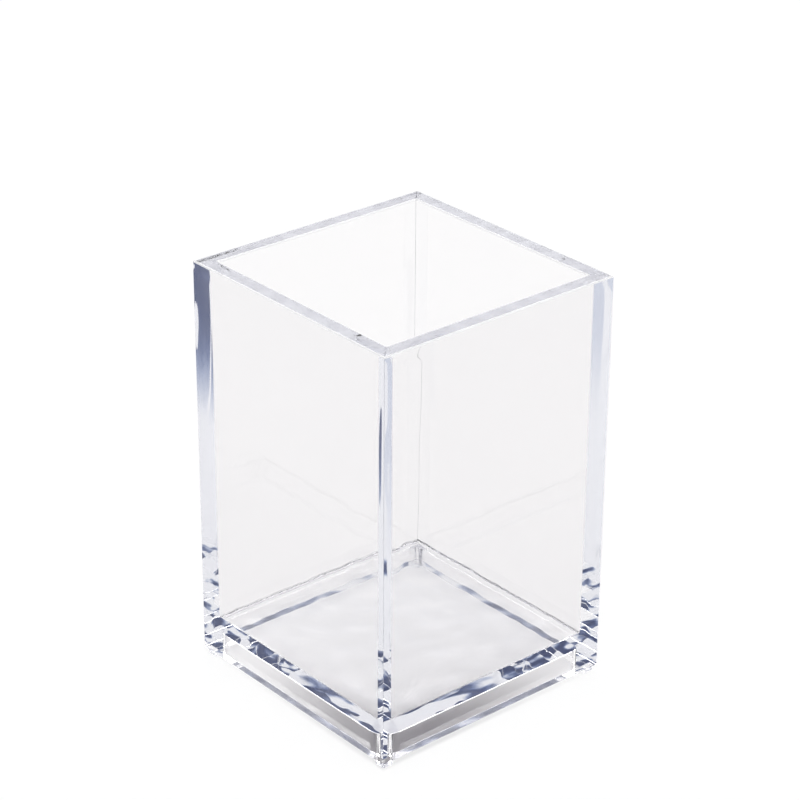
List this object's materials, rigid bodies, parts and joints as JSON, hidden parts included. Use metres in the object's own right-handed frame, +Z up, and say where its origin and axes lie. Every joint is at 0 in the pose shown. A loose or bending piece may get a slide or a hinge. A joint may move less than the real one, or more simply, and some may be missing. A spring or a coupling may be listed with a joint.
{
  "type": "pen holder",
  "caption": "Clear acrylic square cup, open at the top, with mitred walls, a raised floor and small corner feet, for holding pens and brushes upright on a desk.",
  "frame": {"origin": "on the table, under the centre of the cup, level with the undersides of the feet", "axes": "+Z up through the open mouth; the walls look along +X, -X, +Y and -Y, with the front wall on the -Y side"},
  "size_m": [0.066, 0.066, 0.1015],
  "materials": {
    "wall_acrylic": "clear cast acrylic sheet, polished faces and edges",
    "floor_acrylic": "clear cast acrylic sheet, polished faces",
    "foot_acrylic": "clear acrylic, cut faces"
  },
  "bodies": {
    "root": {"front_wall": "wall_acrylic", "right_wall": "wall_acrylic", "back_wall": "wall_acrylic", "left_wall": "wall_acrylic", "floor_plate": "floor_acrylic", "front_left_foot": "foot_acrylic", "front_right_foot": "foot_acrylic", "back_left_foot": "foot_acrylic", "back_right_foot": "foot_acrylic"}
  },
  "joints": []
}
